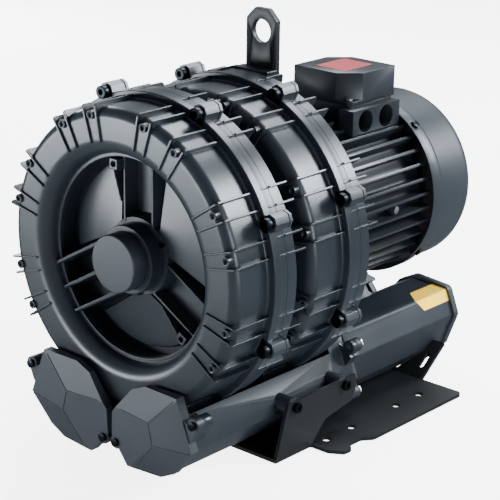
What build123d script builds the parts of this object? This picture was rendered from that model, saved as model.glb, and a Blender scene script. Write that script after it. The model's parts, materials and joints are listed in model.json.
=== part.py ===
"""Side channel blower: two ring stages, a flanged motor and two silencers on a bent bracket.

Millimetres. X runs to the right seen from the front cover, Y along the shaft from the cover to
the motor, Z up. The origin is the centre of the foot-bolt rectangle on the bracket's underside.
"""

import os
from math import cos, radians, sin, sqrt, tan

from build123d import *

os.makedirs("parts", exist_ok=True)

# Clearances
joint_gap = 0.05  # between faces that are bolted or pushed together
shaft_fit = 0.03  # radial, what is fixed on the shaft or in a bearing seat
seal_gap = 0.3  # radial, seals and bearing shields to what turns
running_gap = 0.8  # impeller to casing
bolt_clearance = 0.5  # radial, clearance holes

# Shaft line and stages
shaft_height = 255.0
first_split = -225.0  # parting face of the first stage
stage_pitch = 138.5
second_split = first_split + stage_pitch

# Ring casings: lengths forward and back from the parting face of a stage
ring_radius = 189.0
ring_wall = 5.0
flange_radius = 200.0
front_flange = 24.0
front_strap = 12.0  # raised front part of the flange
strap_rise = 2.0
flange_foot = 3.0  # bevel between barrel and front flange
rear_flange = 17.0
front_depth = 81.0
rear_depth = 33.5
nose_outer_round = 13.0
nose_inner_round = 20.0
rear_outer_round = 15.0
rear_inner_round = 12.0
lip_radius = 126.0
lip_length = 6.0
well_radius = 130.0
well_wall = 6.0
groove_depth = 27.0
panel_rim_depth = 35.0
panel_hub_depth = 43.0
panel_radius = 119.0
web_wall = 7.0
hub_radius = 50.0
hub_depth = 46.5
gasket_thick = 0.5
stripper_angle = 22.0  # block between the two ports in each channel

# Fins and bolt lugs round each ring
lug_count = 8
first_lug = 22.5
bottom_gap = 50.0  # half angle at the bottom that carries neither
fin_offset = 8.5
fin_spacing = 6.4
fin_thick = 2.6
fin_radius = 195.0
rear_fin_rise = 1.0  # over the flange
fin_front = 84.0
fin_rear = 35.0
fin_bend = 148.0
fin_inner = 138.0
rear_fin_inner = 150.0
fin_corner = 4.0
lug_circle = 204.0
lug_radius = 10.5
lug_depth = 24.0
rear_lug = 6.0
casing_bolt = 5.0
bolt_head = 8.0
bolt_head_height = 9.0

# Hub of the front cover and its arms
collar_radius = 43.0
collar_depth = 68.0
cap_radius = 36.2
cap_wall = 3.0
cap_front = -316.0
seat_depth = 60.0
arm_angles = (90.0, 210.0, 330.0)
arm_half = 23.5
arm_rib = 5.0
arm_depth = 47.0
bar_offsets = (31.0, -2.0, -34.0)
bar_depth = 66.0
pocket_hub_half = 29.0
pocket_rim_half = 37.0
arm_boss = 15.0
arm_boss_out = 112.0
arm_boss_side = 35.0
arm_boss_depth = 54.0
arm_hole = 2.5
hub_screw = 2.0

# Impellers
disc_thick = 17.0
disc_wall = 6.0
blade_count = 36
blade_thick = 3.0
blade_depth = 46.0
blade_root = 137.0
blade_ring = 5.0
impeller_hub = 34.0
spacer_radius = 25.0
key_width = 8.0
key_height = 7.0

# Shaft radii and the shaft nut
nut_radius = 19.0
nut_thread = 12.0
nut_width = 9.0
journal_small = 15.0
impeller_seat = 19.0
journal_large = 20.0
core_seat = 24.0
fan_seat = 14.0

# Bearings: outer radius and width of the small and the large one
small_outer = 31.0
small_width = 16.0
large_outer = 40.0
large_width = 18.0
bearing_ring = 5.0
bearing_shield = 1.2

# Motor
motor_flange_radius = 112.0
motor_flange = 12.0
motor_back = 171.0
frame_radius = 98.0
frame_wall = 9.0
motor_fin_radius = 117.0
motor_fin_thick = 4.0
motor_fin_count = 36
motor_fin_front = -40.0
motor_bolt_circle = 106.0
motor_bolt = 4.0
motor_bolt_head = 6.0
stator_bore = 56.0
air_gap = 0.6
winding_outer = 80.0
winding_inner = 61.0
winding_length = 24.0
core_front = -24.5
core_length = 110.0
shield_thick = 13.0
shield_lug = 16.0
cowl_radius = 122.0
cowl_band_radius = 126.0
cowl_wall = 1.6
cowl_front = 165.0
cowl_band_back = 184.0
cowl_taper = 6.0
cowl_back = 269.0
cowl_round = 24.0
cowl_screw_angle = 50.0
cowl_screw_y = 176.0
cowl_screw = 3.0
fan_radius = 112.0
fan_front = 190.0
fan_length = 30.0
fan_blades = 8
grille_rings = ((26.0, 42.0), (48.0, 64.0), (70.0, 86.0))
grille_bars = 10
grille_bar = 7.0

# Terminal box, heights above the shaft
box_front = 74.0
box_back = 169.0
box_floor = 96.0
box_seam = 133.0
box_wall = 5.0
lid_half = 49.0
lid_top = 175.0
lid_chamfer = 26.0
lid_wall = 3.0
lid_rim = 5.0
lid_inset = 3.0
lid_gasket = 1.0
lid_screw = 2.5
lid_screw_in = 9.0
lid_screw_depth = 3.5  # in the base, so that it stays above the cable entries
lead_hole = 9.0
gland_face = 63.0
gland_front = 63.0
gland_height = 114.0
gland_pitch = 44.0
gland_radius = 15.0

# Silencers; the outline is that of the right one, its mirror image is the left one
silencer_x = 75.0
silencer_z = 60.0
cap_outline = (
    (60.0, 115.5),
    (115.0, 117.0),
    (140.0, 53.5),
    (109.0, 16.0),
    (85.5, 4.0),
    (31.3, 3.0),
    (3.5, 35.0),
    (5.0, 67.5),
    (37.5, 106.0),
)
tube_outline = (
    (62.0, 117.0),
    (116.0, 112.5),
    (129.5, 78.0),
    (113.0, 33.0),
    (88.0, 7.5),
    (34.0, 6.0),
    (9.0, 35.0),
    (9.0, 67.0),
    (38.0, 105.0),
)
cap_y = -330.0
cap_thick = 13.0
cap_pocket = 5.0
ridge_height = 4.0
housing_step = 2.05
housing_wall = 5.0
housing_back = -14.0
neck_front_depth = 68.0
neck_width = 46.0
neck_length = 40.0
neck_wall = 5.0
neck_drop = 19.0
saddle_gap = 1.5
joint_flange = 9.0
joint_ears = ((60.0, 40.0), (60.0, -26.0), (-62.0, 38.0), (-63.0, -42.0))
joint_ear = 9.0
joint_bolt = 4.0
tube_back = 229.0
tube_wall = 4.0
tube_round = 6.0
end_flange = 10.0
end_flange_grow = 4.0
port_z = 62.0
port_x = 71.0
port_radius = 28.5
port_boss = 36.0
port_boss_length = 6.0
foam_thick = 10.0
foam_gap = 0.3
cap_ears = ((66.0, 30.0), (-64.0, -32.0))
cap_ear = 9.0
cap_screw = 3.0
cap_screw_rim = 2.5  # head radius beyond the thread

# Bracket
sheet = 5.0
foot_x = 163.0
foot_outer_y = 99.0
foot_inner_y = 48.0
foot_hole = 6.75
wing_x = 204.0
wing_notch_x = 193.0
wing_front = -124.0
plate_front = -192.0
plate_back = 144.0
wall_x = 158.0
wall_height = 73.0
wall_slant_y = -169.0
wall_back = -35.0
wall_arch = (
    (-34.0, 58.0, 6.0),
    (-41.0, 39.0, 8.0),
    (-96.0, 30.0, 10.0),
    (-112.0, 13.0, 8.0),
    (-126.0, 0.0),
)
wall_bolt_y = (-155.0, -57.0)
wall_bolt_z = 65.0
wall_bolt = 4.0
wall_bolt_head = 7.0
wall_pad = 11.0
tongue_inner = 83.0
tongue_outer = 136.0
tongue_angle = 38.0
tongue_length = 66.0
tongue_slot_x = 124.0
tongue_gap = 1.0

# Lifting eye
eye_half = 25.0
eye_top = 530.0
eye_bottom = 427.0
eye_thick = 8.0
eye_hole_z = 501.0
eye_hole = 15.0
eye_chamfer = 14.0
eye_bolt = 4.0
eye_bolt_x = 14.0
eye_bolt_z = 446.0

# Places worked out from the sizes above
channel_radius = ring_radius - ring_wall
band_radius = flange_radius - strap_rise
channel_inner = well_radius + well_wall
web_back = groove_depth - web_wall
hub_back = web_back + 10.0
bearing_back = seat_depth - small_width
blade_tip = channel_radius - running_gap
impeller_back = running_gap - gasket_thick
impeller_hub_front = hub_back - running_gap
neck_foot = shaft_height - sqrt(flange_radius**2 - silencer_x**2) - neck_drop
neck_top = shaft_height - channel_radius * cos(radians(25.0)) + 12.0
large_front = second_split + 14.0
motor_front = second_split + web_wall + gasket_thick + joint_gap
frame_front = motor_front + motor_flange
eye_y = second_split + fin_rear
fin_mid = ring_wall / 2
shaft_axis = Axis((0, 0, shaft_height), (0, 1, 0))


def from_bottom(angle):
    """Angle in degrees between a direction and straight down."""
    return abs((angle + 90.0 + 180.0) % 360.0 - 180.0)


lug_angles = [first_lug + 360.0 / lug_count * n for n in range(lug_count)]
fin_angles = [
    angle + side * fin_offset + step * fin_spacing / 2
    for angle in lug_angles
    for side in (-1, 1)
    for step in (-1, 1)
]
lug_angles = [angle for angle in lug_angles if from_bottom(angle) > bottom_gap]
fin_angles = [angle for angle in fin_angles if from_bottom(angle) > bottom_gap]


def save(piece, name):
    """Labels a finished piece and writes its file."""
    piece.label = name
    export_step(piece, f"parts/{name}.step")


def along(y, angle=90.0):
    """Plane through the shaft axis: local x runs back along the shaft from y, local y is the radius."""
    turn = radians(angle)
    return Plane(origin=(0, y, shaft_height), x_dir=(0, 1, 0), z_dir=(sin(turn), 0, -cos(turn)))


def across(y, height=shaft_height):
    """Plane square to the shaft at y, seen from the front; extruding goes forward."""
    return Plane(origin=(0, y, height), x_dir=(1, 0, 0), z_dir=(0, -1, 0))


def polar(radius, angle):
    """Point at an angle on a circle round the local origin."""
    return (radius * cos(radians(angle)), radius * sin(radians(angle)))


def outline(*corners):
    """Closed outline in a sketch; a corner is (x, y) or (x, y, rounding radius)."""
    points = [(corner[0], corner[1]) for corner in corners]
    radii = [corner[2] if len(corner) > 2 else 0 for corner in corners]
    with BuildLine() as path:
        FilletPolyline(*points, radius=radii, close=True)
    make_face(path.edges())


def strip(start, end, beside, thick, turn):
    """Straight bar in a sketch, from start to end along a direction, beside the centre line."""
    low = beside - thick / 2
    high = beside + thick / 2
    Polygon((start, low), (end, low), (end, high), (start, high), rotation=turn, align=None)


def turned(y, *corners):
    """Solid of revolution about the shaft from (length, radius) corners."""
    with BuildPart() as body:
        with BuildSketch(along(y)):
            outline(*corners)
        revolve(axis=shaft_axis)
    return body.part


def ring_between(front, back, outer, inner):
    """Plain ring round the shaft between two places."""
    return turned(front, (0, inner), (0, outer), (back - front, outer), (back - front, inner))


def holes_at(points, radius, back, length):
    """Cuts round holes square to the shaft line, from back forward over a length."""
    with BuildSketch(across(back)) as flat:
        with Locations(*points):
            Circle(radius)
    extrude(flat.sketch, amount=length, mode=Mode.SUBTRACT)


lug_points = [polar(lug_circle, angle) for angle in lug_angles]
motor_bolt_points = [polar(motor_bolt_circle, 45.0 + 90.0 * n) for n in range(4)]
hub_screw_points = [polar((collar_radius + hub_radius) / 2, angle) for angle in (30.0, 147.0, 273.0)]


def add_fins(split, *corners):
    """Adds the thin plates that wrap the ring, all with one outline of (length, radius) corners."""
    for angle in fin_angles:
        with BuildSketch(along(split, angle)) as flat:
            outline(*corners)
        extrude(flat.sketch, amount=fin_thick / 2, both=True)


def add_lugs(front, back):
    """Adds the bolt lugs of a casing flange."""
    with BuildSketch(across(back)) as flat:
        for angle in lug_angles:
            strip(ring_radius - fin_mid, lug_circle, 0, 2 * lug_radius, angle)
        with Locations(*lug_points):
            RegularPolygon(lug_radius, 8, major_radius=False, rotation=first_lug - 22.5)
    extrude(flat.sketch, amount=back - front)


def add_necks(split):
    """Adds the two necks from the channel down to the silencers and opens their ducts."""
    back = split - neck_front_depth + neck_length + 2 * neck_wall
    middle = (neck_top + neck_foot) / 2 - shaft_height
    with BuildSketch(across(back)) as neck:
        with Locations((-silencer_x, middle), (silencer_x, middle)):
            Rectangle(neck_width + 2 * neck_wall, neck_top - neck_foot)
        Circle(channel_radius + 1.0, mode=Mode.SUBTRACT)
    extrude(neck.sketch, amount=neck_length + 2 * neck_wall)
    with BuildSketch(across(back - neck_wall)) as duct:
        with Locations((-silencer_x, middle), (silencer_x, middle)):
            Rectangle(neck_width, neck_top - neck_foot + 2.0)
    extrude(duct.sketch, amount=neck_length, mode=Mode.SUBTRACT)


def add_stripper(split, *corners):
    """Adds the block that closes the channel between its two ports."""
    with BuildSketch(along(split, -90.0 - stripper_angle / 2)) as flat:
        outline(*corners)
    revolve(flat.sketch, axis=shaft_axis, revolution_arc=-stripper_angle)


def front_section(*hub_corners):
    """Section of a front casing: flange, barrel, nose, lip, groove, panel, hub and channel."""
    lip_front = -front_depth + nose_inner_round + 1.0
    return (
        (0, channel_radius),
        (0, band_radius),
        (-front_flange + front_strap, band_radius),
        (-front_flange + front_strap, flange_radius, 1.0),
        (-front_flange, flange_radius, 2.0),
        (-front_flange, ring_radius + flange_foot),
        (-front_flange - flange_foot, ring_radius),
        (-front_depth, ring_radius, nose_outer_round),
        (-front_depth, well_radius + 1.0, nose_inner_round),
        (lip_front, well_radius + 1.0),
        (lip_front, lip_radius),
        (lip_front + lip_length, lip_radius),
        (lip_front + lip_length, well_radius),
        (-groove_depth, well_radius),
        (-groove_depth, panel_radius),
        (-panel_rim_depth, panel_radius),
        (-panel_hub_depth, hub_radius),
        *hub_corners,
        (-hub_back, hub_radius),
        (-hub_back + 3.0, panel_radius - 8.0),
        (-web_back, panel_radius),
        (-web_back, channel_inner),
        (-front_depth + ring_wall, channel_inner, nose_inner_round - ring_wall),
        (-front_depth + ring_wall, channel_radius, nose_outer_round - ring_wall),
    )


def front_casing(split, *hub_corners):
    """Front casing of a stage without what only one of them has."""
    with BuildPart() as casing:
        with BuildSketch(along(split)):
            outline(*front_section(*hub_corners))
        revolve(axis=shaft_axis)
        add_fins(
            split,
            (-fin_front, fin_radius, fin_corner),
            (-fin_front, fin_bend),
            (-front_depth + nose_inner_round, fin_inner),
            (-front_depth + nose_inner_round, well_radius + 1.0 + fin_mid),
            (-front_depth + nose_inner_round * 0.75, well_radius + 1.0 + fin_mid),
            (-front_depth + fin_mid, well_radius + 1.0 + nose_inner_round * 0.75),
            (-front_depth + fin_mid, ring_radius - fin_mid, nose_outer_round - fin_mid),
            (0, ring_radius - fin_mid),
            (0, flange_radius),
            (-rear_fin_rise, flange_radius + rear_fin_rise - 0.5),
            (-front_flange + front_strap, flange_radius + rear_fin_rise - 0.5),
            (-front_flange + front_strap / 2, flange_radius - strap_rise / 2),
            (-front_flange + front_strap / 2, fin_radius),
        )
        add_lugs(split - lug_depth, split)
        add_necks(split)
        add_stripper(
            split,
            (-front_depth + fin_mid, channel_inner - 1.0),
            (-front_depth + fin_mid, channel_radius - 6.0),
            (-front_depth + nose_outer_round, channel_radius + 1.0),
            (-blade_depth - impeller_back - running_gap, channel_radius + 1.0),
            (-blade_depth - impeller_back - running_gap, channel_inner - 1.0),
        )
        holes_at(lug_points, casing_bolt + bolt_clearance, split, lug_depth)
    return casing.part


# Front cover of the first stage: the plain casing with its hub, arms and bars
cover_hub = (
    (-hub_depth, hub_radius),
    (-hub_depth, collar_radius),
    (-collar_depth, collar_radius, 1.5),
    (-collar_depth, cap_radius + joint_gap),
    (-seat_depth, cap_radius + joint_gap),
    (-seat_depth, small_outer + shaft_fit),
    (-bearing_back, small_outer + shaft_fit),
    (-bearing_back, small_outer - 4.0),
    (-bearing_back + 2.0, small_outer - 4.0),
    (-bearing_back + 2.0, impeller_seat + 7.0),
    (-bearing_back + 10.0, impeller_seat + 7.0),
    (-bearing_back + 10.0, impeller_seat + 1.5),
    (-hub_back, impeller_seat + 1.5),
)

with BuildPart() as stage1_front_casing:
    add(front_casing(first_split, *cover_hub))
    with BuildSketch(across(first_split - groove_depth)):
        for turn in arm_angles:
            wide = max(bar_offsets) - arm_half if turn == arm_angles[1] else 0.0
            Polygon(
                (0, -pocket_hub_half - wide),
                (panel_radius + 5.0, -pocket_rim_half - wide),
                (panel_radius + 5.0, pocket_rim_half + wide),
                (0, pocket_hub_half + wide),
                rotation=turn,
                align=None,
            )
        Circle(panel_radius + 1.0, mode=Mode.INTERSECT)
        Circle(hub_radius, mode=Mode.SUBTRACT)
    extrude(amount=panel_hub_depth - groove_depth + 1.0, mode=Mode.SUBTRACT)
    for turn in (arm_angles[0], arm_angles[2]):
        for beside in (-arm_half, arm_half):
            with BuildSketch(across(first_split - groove_depth + 2.0)):
                strip(0, well_radius + 5.0, beside, arm_rib, turn)
                Circle(well_radius + 2.5, mode=Mode.INTERSECT)
                Circle(hub_radius - 2.0, mode=Mode.SUBTRACT)
            extrude(amount=arm_depth - groove_depth + 2.0)
    for beside in bar_offsets:
        with BuildSketch(across(first_split - groove_depth + 2.0)):
            strip(0, well_radius + 5.0, beside, arm_rib, arm_angles[1])
            Circle(well_radius + 2.5, mode=Mode.INTERSECT)
            Circle(collar_radius - 1.5, mode=Mode.SUBTRACT)
        extrude(amount=bar_depth - groove_depth + 2.0)
    for turn, side in ((arm_angles[0], 1), (arm_angles[2], -1)):
        with BuildSketch(across(first_split - groove_depth + 2.0)):
            strip(
                arm_boss_out - arm_boss / 2,
                arm_boss_out + arm_boss / 2,
                side * arm_boss_side,
                arm_boss,
                turn,
            )
        extrude(amount=arm_boss_depth - groove_depth + 2.0)
    holes_at(hub_screw_points, hub_screw, first_split - hub_depth + 10.0, 10.0)
save(stage1_front_casing.part, "stage1_front_casing")

# Front casing of the second stage: the same ring with a plain hub
inner_hub = (
    (-hub_depth, hub_radius),
    (-hub_depth, spacer_radius + 1.5),
    (-hub_back, spacer_radius + 1.5),
)
with BuildPart() as stage2_front_casing:
    add(front_casing(second_split, *inner_hub))
save(stage2_front_casing.part, "stage2_front_casing")


def rear_casing(split, *hub_corners):
    """Rear casing of a stage: flange, barrel, rounded back and flat web."""
    front = gasket_thick
    with BuildPart() as casing:
        with BuildSketch(along(split)):
            outline(
                (front, channel_radius),
                (front, band_radius),
                (rear_flange, band_radius, 1.0),
                (rear_flange, ring_radius),
                (rear_depth, ring_radius, rear_outer_round),
                (rear_depth, well_radius + 8.0, rear_inner_round),
                (web_wall + front, well_radius + 8.0, 3.0),
                *hub_corners,
                (front, channel_inner + 8.0),
                (rear_depth - ring_wall, channel_inner + 8.0, rear_inner_round - ring_wall),
                (rear_depth - ring_wall, channel_radius, rear_outer_round - ring_wall),
            )
        revolve(axis=shaft_axis)
        add_fins(
            split,
            (front, ring_radius - fin_mid),
            (front, flange_radius),
            (front + rear_fin_rise, flange_radius + rear_fin_rise),
            (fin_rear, flange_radius + rear_fin_rise, fin_corner),
            (fin_rear, rear_fin_inner),
            (rear_depth - fin_mid, rear_fin_inner),
            (rear_depth - fin_mid, ring_radius - fin_mid, rear_outer_round - fin_mid),
        )
        add_lugs(split + front, split + rear_lug)
        add_stripper(
            split,
            (front, channel_inner + 7.0),
            (rear_depth - fin_mid, channel_inner + 7.0),
            (rear_depth - fin_mid, channel_radius - 4.0),
            (rear_flange, channel_radius + 1.0),
            (front, channel_radius + 1.0),
        )
        holes_at(lug_points, casing_bolt, split + rear_lug, rear_lug)
    return casing.part


# Rear casing of the first stage, with the hollow hub and the bridge to the second one
hub_length = stage_pitch - hub_depth - joint_gap
link_hub = (
    (web_wall + gasket_thick, hub_radius),
    (hub_length, hub_radius),
    (hub_length, spacer_radius + 5.0),
    (web_wall + gasket_thick + 2.0, spacer_radius + 5.0),
    (web_wall + gasket_thick + 2.0, spacer_radius + 1.5),
    (gasket_thick, spacer_radius + 1.5),
)
bridge_half = 28.0
bridge_low = 164.0
bridge_high = 183.0
with BuildPart() as stage1_rear_casing:
    add(rear_casing(first_split, *link_hub))
    bridge_end = stage_pitch - front_depth - joint_gap
    with BuildSketch(across(first_split + bridge_end)):
        with Locations((0, (bridge_low + bridge_high) / 2)):
            Rectangle(2 * bridge_half, bridge_high - bridge_low)
    extrude(amount=bridge_end - rear_depth + fin_mid)
save(stage1_rear_casing.part, "stage1_rear_casing")

# Rear casing of the second stage, with the seat of the large bearing and the pad of the eye
large_back = large_front + large_width
drive_hub = (
    (web_wall + gasket_thick, hub_radius),
    (large_back - second_split + 2.0, hub_radius),
    (large_back - second_split + 2.0, large_outer + shaft_fit),
    (large_front - second_split, large_outer + shaft_fit),
    (large_front - second_split, large_outer - 6.0),
    (large_front - second_split - 3.0, large_outer - 6.0),
    (large_front - second_split - 3.0, spacer_radius + 1.5),
    (gasket_thick, spacer_radius + 1.5),
)
eye_bolt_points = ((-eye_bolt_x, eye_bolt_z - shaft_height), (eye_bolt_x, eye_bolt_z - shaft_height))
with BuildPart() as stage2_rear_casing:
    add(rear_casing(second_split, *drive_hub))
    with BuildSketch(across(eye_y)):
        with Locations((0, eye_bolt_z - shaft_height - 2.0)):
            Rectangle(2 * bridge_half, 22.0)
        Circle(channel_radius + fin_mid, mode=Mode.SUBTRACT)
    extrude(amount=fin_rear - rear_flange + 2.0)
    holes_at(eye_bolt_points, eye_bolt, eye_y, 14.0)
    holes_at(motor_bolt_points, motor_bolt, motor_front - joint_gap, web_wall - 1.0)
save(stage2_rear_casing.part, "stage2_rear_casing")

# Gaskets, bolts and seals of the stages
for name, parting in (("stage1", first_split), ("stage2", second_split)):
    save(
        ring_between(parting, parting + gasket_thick, band_radius - 1.0, ring_radius - 4.0),
        f"{name}_gasket",
    )
    with BuildPart() as casing_bolts:
        with BuildSketch(across(parting + rear_lug)):
            with Locations(*lug_points):
                Circle(casing_bolt - shaft_fit)
        extrude(amount=rear_lug + lug_depth)
        with BuildSketch(across(parting - lug_depth - joint_gap)):
            with Locations(*lug_points):
                Circle(bolt_head)
        extrude(amount=bolt_head_height)
        with BuildSketch(across(parting - lug_depth)):
            with Locations(*lug_points):
                Circle(casing_bolt - shaft_fit)
        extrude(amount=bolt_head_height)
        with BuildSketch(across(parting - lug_depth - bolt_head_height + 4.0)):
            with Locations(*lug_points):
                RegularPolygon(casing_bolt - 0.8, 6)
        extrude(amount=6.0, mode=Mode.SUBTRACT)
    save(casing_bolts.part, f"{name}_casing_bolts")


def shaft_seal(front, width, outer, inner):
    """Lip seal: a ring that is hollow towards the back."""
    lip = inner + seal_gap
    return turned(
        front,
        (0, lip),
        (0, outer - shaft_fit),
        (width, outer - shaft_fit),
        (width, outer - 2.0),
        (1.5, outer - 2.0),
        (1.5, lip + 1.5),
        (width - 1.0, lip + 1.5),
        (width - 1.0, lip),
    )


seal_width = 7.0
save(
    shaft_seal(first_split - bearing_back + 2.0 + joint_gap, seal_width, impeller_seat + 7.0, impeller_seat),
    "front_shaft_seal",
)
save(
    ring_between(
        first_split + web_wall + gasket_thick + 2.0 + joint_gap,
        first_split + web_wall + gasket_thick + 10.0,
        spacer_radius + 5.0 - shaft_fit,
        spacer_radius + seal_gap,
    ),
    "middle_shaft_seal",
)
save(
    ring_between(
        large_front - 3.0 + joint_gap,
        large_front - joint_gap,
        large_outer - 6.0 - shaft_fit,
        spacer_radius + seal_gap,
    ),
    "drive_shaft_seal",
)


def bearing_outer(front, width, outer, bore):
    """Outer bearing ring with its two shields."""
    shield = bore + bearing_ring + seal_gap
    track = outer - bearing_ring
    return turned(
        front,
        (0, shield),
        (0, outer),
        (width, outer),
        (width, shield),
        (width - bearing_shield, shield),
        (width - bearing_shield, track),
        (bearing_shield, track),
        (bearing_shield, shield),
    )


def bearing_inner(front, width, bore):
    """Inner bearing ring."""
    return ring_between(front, front + width, bore + bearing_ring, bore + shaft_fit)


front_bearing_y = first_split - seat_depth + joint_gap
rear_bearing_y = motor_back - 2.0
bearings = (
    ("front_bearing", front_bearing_y, small_width - 2 * joint_gap, small_outer, journal_small),
    ("drive_bearing", large_front + joint_gap, large_width - 2 * joint_gap, large_outer, journal_large),
    ("rear_bearing", rear_bearing_y, small_width - 2 * joint_gap, small_outer, journal_small),
)
for name, front, width, outer, bore in bearings:
    save(bearing_outer(front, width, outer, bore), f"{name}_outer")
    save(bearing_inner(front, width, bore), f"{name}_inner")

# Hub cap: a cup pushed into the collar
cap_back = first_split - seat_depth - joint_gap
hub_cap = turned(
    cap_front,
    (0, 0),
    (0, cap_radius, 2.0),
    (cap_back - cap_front, cap_radius),
    (cap_back - cap_front, cap_radius - cap_wall),
    (cap_wall, cap_radius - cap_wall),
    (cap_wall, 0),
)
save(hub_cap, "hub_cap")

with BuildPart() as hub_screws:
    with BuildSketch(across(first_split - hub_depth - joint_gap)):
        with Locations(*hub_screw_points):
            Circle(hub_screw + 1.3)
    extrude(amount=3.0)
    with BuildSketch(across(first_split - hub_depth + 9.0)):
        with Locations(*hub_screw_points):
            Circle(hub_screw - shaft_fit)
    extrude(amount=10.0)
save(hub_screws.part, "hub_screws")

# Shaft: thread, front journal, impeller seat, drive journal, core seat, rear journal, fan seat
shaft_front = front_bearing_y - nut_width - 5.0
seat_front = first_split - bearing_back + joint_gap
core_back = core_front + core_length
rear_journal_front = rear_bearing_y
fan_seat_front = rear_bearing_y + small_width
shaft_back = fan_front + fan_length + 6.0
shaft_steps = (
    (shaft_front, nut_thread),
    (front_bearing_y, journal_small),
    (seat_front, impeller_seat),
    (large_front - joint_gap, journal_large),
    (large_back, core_seat),
    (core_back + 20.0, journal_large),
    (rear_journal_front, journal_small),
    (fan_seat_front, fan_seat),
)
shaft_corners = [(0, 0)]
for number, (place, radius) in enumerate(shaft_steps):
    next_place = shaft_steps[number + 1][0] if number + 1 < len(shaft_steps) else shaft_back
    shaft_corners.append((place - shaft_front, radius))
    shaft_corners.append((next_place - shaft_front, radius))
shaft_corners.append((shaft_back - shaft_front, 0))
impeller_faces = [
    (split - impeller_hub_front, split - impeller_back) for split in (first_split, second_split)
]
key_low = impeller_seat - key_height / 2
with BuildPart() as shaft:
    with BuildSketch(along(shaft_front)):
        outline(*shaft_corners)
    revolve(axis=shaft_axis)
    for face_front, face_back in impeller_faces:
        with BuildSketch(Plane.XY.offset(shaft_height + key_low)):
            with Locations((0, (face_front + face_back) / 2)):
                Rectangle(key_width, face_back - face_front - 4.0)
        extrude(amount=key_height, mode=Mode.SUBTRACT)
save(shaft.part, "shaft")

with BuildPart() as keys:
    for face_front, face_back in impeller_faces:
        with BuildSketch(Plane.XY.offset(shaft_height + key_low + joint_gap)):
            with Locations((0, (face_front + face_back) / 2)):
                Rectangle(key_width - 2 * joint_gap, face_back - face_front - 4.0 - 2 * joint_gap)
        extrude(amount=key_height - 2 * joint_gap)
save(keys.part, "impeller_keys")

with BuildPart() as shaft_nut:
    with BuildSketch(across(front_bearing_y - joint_gap)):
        RegularPolygon(nut_radius, 6)
        Circle(nut_thread + shaft_fit, mode=Mode.SUBTRACT)
    extrude(amount=nut_width)
save(shaft_nut.part, "shaft_nut")


def impeller(split):
    """Impeller: hub, dished disc and a crown of straight blades."""
    back = -impeller_back
    front = back - blade_depth
    with BuildPart() as wheel:
        with BuildSketch(along(split)):
            outline(
                (back, impeller_seat + shaft_fit),
                (back, impeller_hub),
                (back - 4.0, impeller_hub + 8.0, 4.0),
                (back - 4.0, blade_root - 20.0, 6.0),
                (back, blade_root - 8.0),
                (back, blade_root + blade_ring),
                (back - disc_thick, blade_root + blade_ring),
                (back - disc_thick, blade_root - 8.0),
                (back - 4.0 - disc_wall, blade_root - 20.0, 6.0),
                (back - 4.0 - disc_wall, impeller_hub + 8.0, 4.0),
                (-impeller_hub_front, impeller_hub),
                (-impeller_hub_front, impeller_seat + shaft_fit),
            )
        revolve(axis=shaft_axis)
        with BuildSketch(along(split)):
            outline(
                (back, blade_root),
                (back, blade_tip, 4.0),
                (front, blade_tip, 16.0),
                (front, blade_root + 1.0, 8.0),
            )
        blade = extrude(amount=blade_thick / 2, both=True, mode=Mode.PRIVATE)
        for number in range(blade_count):
            add(blade.rotate(shaft_axis, number * 360.0 / blade_count))
        with BuildSketch(Plane.XY.offset(shaft_height)):
            with Locations((0, split - (impeller_back + impeller_hub_front) / 2)):
                Rectangle(key_width, impeller_hub_front)
        extrude(amount=impeller_seat + key_height / 2 + joint_gap, mode=Mode.SUBTRACT)
    return wheel.part


first_impeller = impeller(first_split)
save(first_impeller, "impeller_1")
save(Location((0, stage_pitch, 0)) * first_impeller, "impeller_2")

# Sleeves that hold the impellers apart on the shaft
sleeves = (
    ("front_sleeve", seat_front + joint_gap, impeller_faces[0][0] - joint_gap, impeller_seat + 1.0),
    ("middle_sleeve", impeller_faces[0][1] + joint_gap, impeller_faces[1][0] - joint_gap, spacer_radius),
    ("drive_sleeve", impeller_faces[1][1] + joint_gap, large_front - 2 * joint_gap, spacer_radius),
)
for name, front, back, outer in sleeves[1:]:
    save(ring_between(front, back, outer, impeller_seat + shaft_fit), name)


def outward(y, angle, radius):
    """Plane that faces away from the shaft at a radius; local x runs along the shaft."""
    turn = radians(angle)
    middle = (radius * cos(turn), y, shaft_height + radius * sin(turn))
    return Plane(origin=middle, x_dir=(0, 1, 0), z_dir=(cos(turn), 0, sin(turn)))


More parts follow.
